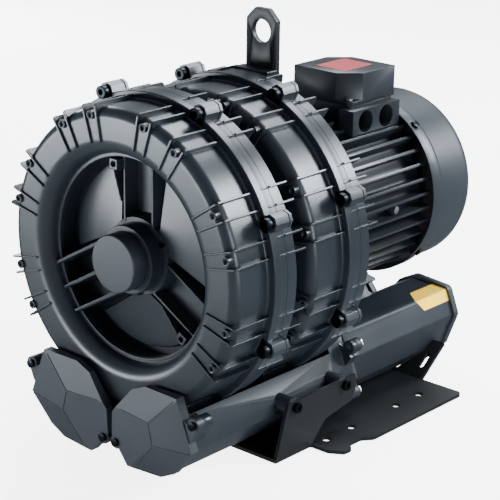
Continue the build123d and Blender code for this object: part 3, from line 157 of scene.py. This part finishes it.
def new_piece(name, points, groups):
    """Object from points (n, 3) and a list of face arrays. The faces are turned round where the
    volume that they enclose, the sum of the triangles' triple products, comes out negative."""
    points = np.asarray(points, float)
    inside = 0.0
    for face in groups:
        for k in range(1, face.shape[1] - 1):
            a, b, c = points[face[:, 0]], points[face[:, k]], points[face[:, k + 1]]
            inside += float(np.einsum("ij,ij->i", a, np.cross(b, c)).sum())
    if inside < 0:
        groups = [face[:, ::-1] for face in groups]
    mesh = bpy.data.meshes.new(name)
    mesh.from_pydata(points.tolist(), [], [row for face in groups for row in face.tolist()])
    mesh.update()
    piece = bpy.data.objects.new(name, mesh)
    scene.collection.objects.link(piece)
    return piece


def grid_faces(rows, columns, close_rows, close_columns):
    """Quads between neighbouring rows and columns of a grid of points."""
    r = np.arange(rows if close_rows else rows - 1)
    c = np.arange(columns if close_columns else columns - 1)
    r, c = np.meshgrid(r, c, indexing="ij")
    r2, c2 = (r + 1) % rows, (c + 1) % columns
    corners = (r * columns + c, r * columns + c2, r2 * columns + c2, r2 * columns + c)
    return np.stack(corners, -1).reshape(-1, 4)


def grid_piece(name, points, close_rows, close_columns):
    """Mesh of quads over an array of points (rows, columns, 3)."""
    rows, columns = points.shape[:2]
    return new_piece(name, points.reshape(-1, 3), [grid_faces(rows, columns, close_rows, close_columns)])


def rounded_line(corners, bend=0.16):
    """Closed line through corners (x, y, radius): each corner becomes the arc that touches both
    of its sides; the arc's points lie at even angles, bend apart at most, between its two ends."""
    line = []
    for i, (x, y, radius) in enumerate(corners):
        here = np.array((x, y), float)
        if radius <= 0:
            line.append(here[None])
            continue
        back = np.array(corners[i - 1][:2]) - here
        ahead = np.array(corners[(i + 1) % len(corners)][:2]) - here
        back, ahead = back / np.linalg.norm(back), ahead / np.linalg.norm(ahead)
        half = np.arccos(np.clip(back @ ahead, -1, 1)) / 2
        middle = here + (back + ahead) / np.linalg.norm(back + ahead) * radius / np.sin(half)
        first = here + back * radius / np.tan(half) - middle
        last = here + ahead * radius / np.tan(half) - middle
        sweep = np.pi - 2 * half
        t = np.linspace(0, 1, max(3, int(sweep / bend) + 2))[:, None]
        line.append(middle + (np.sin((1 - t) * sweep) * first + np.sin(t * sweep) * last) / np.sin(sweep))
    return np.concatenate(line)


def about_shaft(along, radius, angle):
    """Points from a place along the shaft, a distance from it and an angle round it, in metres."""
    along, radius, angle = np.broadcast_arrays(along, radius, angle)
    return np.stack((radius * np.cos(angle) * MM, along * MM, SHAFT_Z + radius * np.sin(angle) * MM), -1)


def turned(name, y, corners, columns=256):
    """Ring: a closed line of (along, radius) carried round the shaft line in a full circle."""
    line = rounded_line(corners)
    angle = np.linspace(0, 2 * np.pi, columns, endpoint=False)
    points = about_shaft(y + line[:, :1], line[:, 1:], angle[None, :])
    return grid_piece(name, points, True, True)


def spun(name, places, corners, columns=28):
    """Small round parts: a closed line of (along, radius) turned about lines that run along the
    shaft direction through places (x, height over the shaft)."""
    line = rounded_line(corners)
    angle = np.linspace(0, 2 * np.pi, columns, endpoint=False)
    one = about_shaft(line[:, :1], line[:, 1:], angle[None, :]).reshape(-1, 3)
    quads = grid_faces(len(line), columns, True, True)
    points = np.concatenate([one + np.array((x, 0.0, z)) * MM for x, z in places])
    return new_piece(name, points, [quads + number * len(one) for number in range(len(places))])


def prisms(name, bodies, depth):
    """Flat bodies: each is a closed line (n, 2) and the plane that sets it in space, where it
    goes to minus and plus half the depth and is joined."""
    points, faces, start = [], [], 0
    for line, plane in bodies:
        points += [plane(line, -depth / 2), plane(line, depth / 2)]
        ring = np.arange(len(line))
        ahead = (ring + 1) % len(line)
        faces.append(start + np.stack((ring, ahead, ahead + len(line), ring + len(line)), -1))
        faces.append(start + ring[None, ::-1])
        faces.append(start + len(line) + ring[None, :])
        start += 2 * len(line)
    return new_piece(name, np.concatenate(points), faces)


def through_shaft(y, angle):
    """Plane that holds the shaft line, at an angle round it: a line's x runs back along the shaft
    from y and its y is the distance from the shaft; depth runs across the plane."""
    c, s = cos(radians(angle)), sin(radians(angle))

    def plane(line, offset):
        x = line[:, 1] * c - offset * s
        z = line[:, 1] * s + offset * c
        return np.stack((x * MM, (y + line[:, 0]) * MM, SHAFT_Z + z * MM), -1)

    return plane


def square_to_shaft(y):
    """Plane square to the shaft: a line's x runs to the right, its y up from the shaft line, and
    depth runs along the shaft, counted from y."""
    def plane(line, offset):
        along = np.full(len(line), (y + offset) * MM)
        return np.stack((line[:, 0] * MM, along, SHAFT_Z + line[:, 1] * MM), -1)

    return plane


def bars(name, pairs, width, height, up):
    """Straight square bars between pairs of points in millimetres; up is the way that their
    height is measured."""
    quads = np.array([(0, 1, 2, 3), (7, 6, 5, 4), (0, 4, 5, 1), (1, 5, 6, 2), (2, 6, 7, 3), (3, 7, 4, 0)])
    points, faces = [], []
    for start, end in pairs:
        run = np.subtract(end, start) / np.linalg.norm(np.subtract(end, start))
        side = np.cross(run, up)
        side /= np.linalg.norm(side)
        rise = np.cross(side, run)
        faces.append(len(points) + quads)
        for place in (start, end):
            for a, b in ((-1, -1), (1, -1), (1, 1), (-1, 1)):
                points.append((np.array(place) + side * a * width / 2 + rise * b * height / 2) * MM)
    return new_piece(name, np.array(points), faces)


EDGE_LIMIT = radians(32)


def round_edge(piece, width):
    """Small round on edges sharper than EDGE_LIMIT, with flat faces kept flat."""
    edge = piece.modifiers.new("edge_round", "BEVEL")
    edge.width = width * MM
    edge.segments = 2
    edge.limit_method = "ANGLE"
    edge.angle_limit = EDGE_LIMIT
    edge.harden_normals = True


def dressed(piece, material, edge):
    """Rides on the housing and takes a finish, smooth faces and edges rounded by a width in
    millimetres, or evened shading where the width is 0."""
    piece.data.materials.append(material)
    piece.data.polygons.foreach_set("use_smooth", np.ones(len(piece.data.polygons), bool))
    if edge:
        round_edge(piece, edge)
    else:
        even = piece.modifiers.new("even_shading", "WEIGHTED_NORMAL")
        even.keep_sharp = True
    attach(piece, "housing")
    return piece


# finishes

def painted(name, colour, rough, grain, bump):
    """Painted or coated surface: slight cloudiness, uneven gloss and a fine skin texture."""
    material, tree, shader = node_material(name)
    new = tree.nodes.new
    link = tree.links.new
    where = new("ShaderNodeTexCoord")
    cloud = new("ShaderNodeTexNoise")
    cloud.inputs["Scale"].default_value = 9.0
    cloud.inputs["Detail"].default_value = 5.0
    link(where.outputs["Object"], cloud.inputs["Vector"])
    tint = new("ShaderNodeValToRGB")
    tint.color_ramp.elements[0].position = 0.3
    tint.color_ramp.elements[1].position = 0.7
    tint.color_ramp.elements[0].color = (*[c * 0.8 for c in colour], 1)
    tint.color_ramp.elements[1].color = (*[c * 1.25 for c in colour], 1)
    link(cloud.outputs["Fac"], tint.inputs["Fac"])
    link(tint.outputs["Color"], shader.inputs["Base Color"])
    uneven_gloss(tree, cloud, shader, rough * 0.85, rough * 1.2)
    skin = new("ShaderNodeTexNoise")
    skin.inputs["Scale"].default_value = grain
    skin.inputs["Detail"].default_value = 3.0
    link(where.outputs["Object"], skin.inputs["Vector"])
    relief = new("ShaderNodeBump")
    relief.inputs["Strength"].default_value = bump
    relief.inputs["Distance"].default_value = 0.0006
    link(skin.outputs["Fac"], relief.inputs["Height"])
    link(relief.outputs["Normal"], shader.inputs["Normal"])
    return material


def metal(name, colour, rough):
    """Bare metal with fine machining marks."""
    material, tree, shader = node_material(name)
    new = tree.nodes.new
    link = tree.links.new
    where = new("ShaderNodeTexCoord")
    marks = new("ShaderNodeTexNoise")
    marks.inputs["Scale"].default_value = 700.0
    link(where.outputs["Object"], marks.inputs["Vector"])
    tint = new("ShaderNodeValToRGB")
    tint.color_ramp.elements[0].color = (*[c * 0.85 for c in colour], 1)
    tint.color_ramp.elements[1].color = (*colour, 1)
    link(marks.outputs["Fac"], tint.inputs["Fac"])
    link(tint.outputs["Color"], shader.inputs["Base Color"])
    uneven_gloss(tree, marks, shader, rough * 0.8, rough * 1.25)
    shader.inputs["Metallic"].default_value = 1.0
    return material


def uneven_gloss(tree, noise, shader, low, high):
    """Roughness between two values that follows a noise."""
    gloss = tree.nodes.new("ShaderNodeMapRange")
    gloss.inputs["To Min"].default_value = low
    gloss.inputs["To Max"].default_value = high
    tree.links.new(noise.outputs["Fac"], gloss.inputs["Value"])
    tree.links.new(gloss.outputs["Result"], shader.inputs["Roughness"])


finish = {
    "casting": painted("cast_paint", (0.007, 0.010, 0.014), 0.33, 420.0, 0.15),
    "motor_paint": painted("motor_paint", (0.007, 0.009, 0.012), 0.36, 500.0, 0.15),
    "cowl_paint": painted("cowl_paint", (0.010, 0.014, 0.019), 0.42, 900.0, 0.08),
    "cap_paint": painted("cap_paint", (0.008, 0.011, 0.017), 0.5, 700.0, 0.15),
    "bracket_paint": painted("bracket_paint", (0.003, 0.0035, 0.0045), 0.45, 900.0, 0.1),
    "black_steel": metal("black_steel", (0.02, 0.022, 0.026), 0.35),
    "bright_steel": metal("bright_steel", (0.62, 0.63, 0.65), 0.3),
    "machined_steel": metal("machined_steel", (0.5, 0.51, 0.53), 0.28),
    "impeller_alloy": metal("impeller_alloy", (0.66, 0.67, 0.69), 0.35),
    "laminations": metal("laminations", (0.3, 0.3, 0.32), 0.45),
    "copper": metal("copper", (0.72, 0.4, 0.22), 0.35),
    "rubber": painted("rubber", (0.012, 0.012, 0.012), 0.75, 900.0, 0.3),
    "gasket_paper": painted("gasket_paper", (0.02, 0.02, 0.02), 0.8, 900.0, 0.3),
    "fan_plastic": painted("fan_plastic", (0.02, 0.02, 0.022), 0.5, 900.0, 0.1),
    "board_plastic": painted("board_plastic", (0.2, 0.04, 0.03), 0.35, 900.0, 0.05),
    "foam": painted("foam", (0.05, 0.05, 0.055), 0.9, 300.0, 1.0),
}


def dress_nodes():
    """Every node takes its finish, and smooth faces with a small round on its edges, a wide one
    on the hub cap. The silencer caps and the bent sheet keep their flat faces."""
    slots = {part["node"]: part["material_slot"] for part in frame["record"]["subparts"]}
    for name, node in nodes.items():
        node.data.materials.clear()
        node.data.materials.append(finish[slots[name]])
        flat = name.startswith("silencer_cap") or name == "base_bracket"
        node.data.polygons.foreach_set("use_smooth", np.full(len(node.data.polygons), not flat))
        weld = node.modifiers.new("merged", "WELD")
        weld.merge_threshold = 0.00001
        if not flat:
            round_edge(node, 4.5 if name == "hub_cap" else 0.5)


# ring casings

SPLITS = (-225.0, -86.5)
ALL_LUGS = [22.5 + 45.0 * n for n in range(8)]
LUGS = [angle for n, angle in enumerate(ALL_LUGS) if n not in (5, 6)]
FIN_OFFSET = 8.5
FIN_HALF_SPACING = 3.2
FIN_THICK = 2.6
BOTTOM_GAP = 50.0
PAIRS = [lug + side * FIN_OFFSET for lug in ALL_LUGS for side in (-1, 1)]
PAIRS = [angle for angle in PAIRS if abs((angle + 270.0) % 360.0 - 180.0) > BOTTOM_GAP]
FINS = [angle + step * FIN_HALF_SPACING for angle in PAIRS for step in (-1, 1)]

# Corners (along the shaft, distance from it, rounding)
FRONT_RING = [
    (0, 184, 0), (0, 198, 0.3), (-12, 198, 0), (-12, 200, 0.8), (-24, 200, 1.5), (-24, 189, 3),
    (-81, 189, 13), (-81, 131, 20), (-60, 131, 0.6), (-60, 126, 1.0), (-54, 126, 0.8), (-54, 130, 0.8),
    (-24, 130, 0), (-20, 136, 0), (-76, 136, 15), (-76, 184, 8),
]
REAR_RING = [
    (0.5, 184, 0), (0.5, 198, 0.3), (17, 198, 1), (17, 189, 2), (33.5, 189, 15), (33.5, 138, 12),
    (7.5, 138, 3), (7.5, 50.5, 0), (0.5, 50.5, 0), (0.5, 144, 0), (28.5, 144, 7), (28.5, 184, 10),
]
FRONT_FIN = [
    (-84, 195, 4), (-84, 148, 2), (-61, 138, 2), (-61, 133.5, 0), (-66, 133.5, 0), (-78.5, 146, 0),
    (-78.5, 186.5, 10.5), (0, 186.5, 0), (0, 200, 0), (-1, 200.5, 0), (-12, 200.5, 0), (-18, 199, 0),
    (-18, 195, 0),
]
REAR_FIN = [
    (0.5, 186.5, 0), (0.5, 200, 0), (1.5, 201, 0), (35, 201, 4), (35, 150, 2), (31, 150, 0),
    (31, 186.5, 12.5),
]
FIN_BOSS_CIRCLE = 181.0
FIN_BOSS = [(-84.2, 2.2, 0), (-84.2, 5.6, 0.8), (-76, 5.6, 0), (-76, 2.2, 0)]
FRONT_HUB = [
    (-30, 49, 0), (-46.2, 49, 0), (-46.2, 43, 0.8), (-68, 43, 1.5), (-68, 36.25, 0.4), (-60, 36.25, 0),
    (-60, 31.03, 0), (-44, 31.03, 0), (-44, 27, 0), (-42, 27, 0), (-42, 26, 0), (-34, 26, 0),
    (-34, 20.5, 0), (-30, 20.5, 0),
]
PLAIN_HUB = [
    (-20, 131, 0), (-27, 131, 0), (-27, 119, 1), (-35, 119, 1.5), (-43, 50, 0.5), (-46.5, 50, 0.5),
    (-46.5, 26.5, 0), (-30, 26.5, 0), (-30, 50, 0), (-27, 111, 0), (-20, 119, 0),
]
LINK_HUB = [
    (0.5, 51, 0), (7.5, 51, 0), (8.5, 50, 1), (91.95, 50, 0.5), (91.95, 30, 0), (9.5, 30, 0),
    (9.5, 26.5, 0), (0.5, 26.5, 0),
]
DRIVE_HUB = [
    (0.5, 51, 0), (7.5, 51, 0), (8.5, 50, 1), (34, 50, 0.5), (34, 40.03, 0), (14, 40.03, 0),
    (14, 34, 0), (11, 34, 0), (11, 26.5, 0), (0.5, 26.5, 0),
]

# Corners square to the shaft (to the right or out from it, over the shaft, rounding)
LUG = [
    (186.5, -10.5, 0), (208.35, -10.5, 1), (214.5, -4.35, 1), (214.5, 4.35, 1), (208.35, 10.5, 1),
    (186.5, 10.5, 0),
]
BRIDGE = [(-28, 164, 0), (28, 164, 0), (28, 183, 2), (-28, 183, 2)]
EYE_PAD = [(-28, 178, 0), (28, 178, 0), (28, 200, 1), (-28, 200, 1)]
NECK_X = 75.0
NECK_HALF = 28.0
NECK_LOW = -205.0
NECK_HIGH = -160.0


def fins(name, y, corners):
    """Thin plates in planes through the shaft line, all with the same outline."""
    line = rounded_line(corners)
    return prisms(name, [(line, through_shaft(y, angle)) for angle in FINS], FIN_THICK)


def lugs(name, front, back):
    """Bolt lugs: a bar out from the flange with half an octagon round the bolt, turned to each
    lug's angle."""
    line = rounded_line(LUG)
    plane = square_to_shaft((front + back) / 2)
    bodies = []
    for angle in LUGS:
        c, s = cos(radians(angle)), sin(radians(angle))
        at_angle = np.stack((line[:, 0] * c - line[:, 1] * s, line[:, 0] * s + line[:, 1] * c), -1)
        bodies.append((at_angle, plane))
    return prisms(name, bodies, back - front)


def necks(name, front, back):
    """The two necks that run down from a ring to the silencers."""
    plane = square_to_shaft((front + back) / 2)
    bodies = []
    for x in (-NECK_X, NECK_X):
        corners = [(x + side * NECK_HALF, z, 0) for side, z in
                   ((-1, NECK_LOW), (1, NECK_LOW), (1, NECK_HIGH), (-1, NECK_HIGH))]
        bodies.append((rounded_line(corners), plane))
    return prisms(name, bodies, back - front)


def smooth_step(x, low, high):
    """0 below low, 1 above high, an s-shaped rise between."""
    t = np.clip((x - low) / (high - low), 0, 1)
    return t * t * (3 - 2 * t)


def fades(distance, near, far):
    """1 within near, 0 beyond far, an s-shaped fall between."""
    return 1 - smooth_step(distance, near, far)


ARMS = ((90.0, 1), (210.0, 0), (330.0, -1))  # angle and the side of its ear; 0 is the arm with bars
BARS = (31.0, -2.0, -34.0)
GROOVE = 27.0
RIM_HEIGHT = 35.0
HUB_HEIGHT = 46.5
PANEL_RADIUS = 119.0
HUB_RADIUS = 50.0
RIB_BESIDE = 23.5
EAR_OUT = 111.0
EAR_BESIDE = 34.5


def cover_panel(name):
    """Panel of the front cover as a height over (radius, angle): a shallow cone, a ring groove, a
    deep pocket in each arm, two ribs, a slanting web and a square ear with a hole in two of the
    arms, three high bars in the left one, and a flat hub. Each form is a band of the distance to
    its middle line with a soft edge, and the highest one is kept. In an arm, u runs out from the
    shaft and v beside it."""
    radius = np.concatenate((np.linspace(40.0, 131.0, 122), [131.0, 40.0]))
    angle = np.linspace(0, 2 * np.pi, 700, endpoint=False)
    r, a = np.meshgrid(radius, angle, indexing="ij")
    x, z = r * np.cos(a), r * np.sin(a)
    height = RIM_HEIGHT + (PANEL_RADIUS - r) * 8.0 / 69.0
    height = np.where(r > PANEL_RADIUS + 0.6, GROOVE, height)
    height = height + (GROOVE - height) * smooth_step(r, PANEL_RADIUS - 0.4, PANEL_RADIUS + 0.8)
    for turn, kind in ARMS:
        c, s = cos(radians(turn)), sin(radians(turn))
        u, v = x * c + z * s, -x * s + z * c
        half = 29.0 + 8.0 * (u / 124.0) + (0.0 if kind else 7.5)
        inside = smooth_step(half - np.abs(v), -0.4, 0.9) * smooth_step(u, -1.0, 1.0)
        height = height + (GROOVE - height) * inside * smooth_step(r, HUB_RADIUS - 1.0, HUB_RADIUS + 0.5)
        if kind:
            rib = fades(np.abs(np.abs(v) - RIB_BESIDE), 1.8, 3.0) * (u > 0)
            height = np.maximum(height, GROOVE + 20.0 * rib)
            slant = np.abs(v - kind * (25.0 + 16.0 * (u - 56.0) / 50.0))
            web = fades(slant, 1.2, 2.2) * smooth_step(u, 54.0, 66.0) * (u < 108.0)
            height = np.maximum(height, GROOVE + 22.0 * web)
            ear = np.maximum(np.abs(u - EAR_OUT), np.abs(v - kind * EAR_BESIDE))
            hole = np.hypot(u - EAR_OUT, v - kind * EAR_BESIDE)
            top = GROOVE + 28.0 * fades(ear, 7.2, 8.4) - 16.0 * fades(hole, 2.4, 3.2)
            height = np.where(ear < 8.4, np.maximum(height * (ear > 7.2), top), height)
        else:
            for beside in BARS:
                bar = fades(np.abs(v - beside), 2.6, 3.6) * (u > 0)
                height = np.maximum(height, GROOVE + 39.0 * bar)
    height = np.maximum(height, HUB_HEIGHT * fades(r, HUB_RADIUS - 0.6, HUB_RADIUS + 0.6))
    height[-2:] = 20.5
    points = about_shaft(SPLITS[0] - height, r, a)
    return grid_piece(name, points, True, True)


def cast(piece, edge=0):
    """Dressed in the paint of the castings."""
    return dressed(piece, finish["casting"], edge)


def ring_casings():
    """The four casings: shell, fins, lugs, necks, fin bosses and hub of each."""
    for number, y in enumerate(SPLITS, 1):
        shell = cast(turned(f"ring{number}_front_shell", y, FRONT_RING))
        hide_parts(f"stage{number}_front_casing")
        cast(fins(f"ring{number}_front_fins", y, FRONT_FIN), 0.6)
        cast(lugs(f"ring{number}_front_lugs", y - 24.0, y), 1.0)
        cast(necks(f"ring{number}_necks", y - 68.0, y - 18.0), 3.0)
        if number == 1:
            cast(cover_panel("front_cover_panel"))
            cast(turned("front_cover_hub", y, FRONT_HUB, 128))
        else:
            cast(turned("ring2_front_panel", y, PLAIN_HUB, 128))
        shell = cast(turned(f"ring{number}_rear_shell", y, REAR_RING))
        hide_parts(f"stage{number}_rear_casing")
        cast(fins(f"ring{number}_rear_fins", y, REAR_FIN), 0.6)
        cast(lugs(f"ring{number}_rear_lugs", y + 0.5, y + 6.0), 1.0)
        places = [(FIN_BOSS_CIRCLE * cos(radians(a)), FIN_BOSS_CIRCLE * sin(radians(a))) for a in PAIRS]
        boss = [(y + along, distance, rounding) for along, distance, rounding in FIN_BOSS]
        cast(spun(f"ring{number}_fin_bosses", places, boss))
        cast(turned(f"ring{number}_rear_hub", y, LINK_HUB if number == 1 else DRIVE_HUB, 128))
    cast(prisms("ring_bridge", [(rounded_line(BRIDGE), square_to_shaft(-180.8))], 26.4), 1.0)
    cast(prisms("eye_pad", [(rounded_line(EYE_PAD), square_to_shaft(-61.0))], 19.0), 1.0)


# silencer caps and bare patches

# Fold points of the right cap's roof: right of the silencer's middle, over it, behind the front
ROOF = {
    "top": (-3.5, 14.0, 0.0), "low": (3.5, -14.4, 0.0), "left": (-53.8, 15.1, 4.0),
    "peak": (35.1, 52.2, 4.0), "foot": (-26.6, -49.4, 4.0), "right": (61.6, -9.3, 4.0),
}
FOLDS = (("top", "low"), ("top", "left"), ("top", "peak"), ("low", "foot"), ("low", "right"))
SILENCER_X = 75.0
SILENCER_Z = 60.0
CAP_FRONT = -330.0


def cap_ridges():
    """Thin raised lines along the folds of both silencer caps."""
    for side in (1, -1):
        at = {key: (side * (SILENCER_X + u), CAP_FRONT + depth, SILENCER_Z + v)
              for key, (u, v, depth) in ROOF.items()}
        ridge = bars(f"cap_ridges_{side}", [(at[a], at[b]) for a, b in FOLDS], 1.8, 1.6, (0, -1, 0))
        dressed(ridge, finish["cap_paint"], 0.5)


def film(piece, material):
    """Thin film over a surface."""
    thick = piece.modifiers.new("film", "SOLIDIFY")
    thick.thickness = 0.0003
    dressed(piece, material, 0)


def tube_height(x):
    """Height of the right silencer tube's two upper faces at a place x."""
    if x < 116.0:
        return 117.0 - 4.5 * (x - 62.0) / 54.0
    return 112.5 - 34.5 * (x - 116.0) / 13.5


def bare_plates():
    """Bare patches where the machine carries printed matter: red on the lid, yellow on the tube,
    folded over its upper edge, and yellow on the cowl."""
    red = painted("red_film", (0.42, 0.02, 0.03), 0.5, 900.0, 0.02)
    yellow = painted("yellow_film", (0.85, 0.50, 0.02), 0.4, 900.0, 0.02)
    plate = bars("lid_patch", [((0, 91.5, 430.1), (0, 150.5, 430.1))], 50.0, 0.6, (0, 0, 1))
    dressed(plate, red, 0)
    x = np.concatenate((np.linspace(93.0, 116.0, 6), np.linspace(116.5, 122.0, 5)))
    front = np.concatenate((np.linspace(166.0, 148.0, 6), np.linspace(150.0, 162.0, 5)))
    height = np.array([tube_height(place) for place in x])
    points = np.stack([np.stack((x + 0.25, y, height + 0.25), -1) for y in (front, np.full(11, 223.0))], 1)
    film(grid_piece("tube_patch", points * MM, False, False), yellow)
    angle = np.radians(np.linspace(60.0, 72.0, 9))[:, None]
    along = np.stack((np.linspace(196.0, 226.0, 9), np.linspace(222.0, 240.0, 9)), -1)
    points = about_shaft(along, 122.25 - 6.0 * (along - 184.0) / 85.0, angle)
    film(grid_piece("cowl_patch", points, False, False), yellow)


photo_camera()
stage_floor()
studio_light()
dress_nodes()
ring_casings()
cap_ridges()
bare_plates()
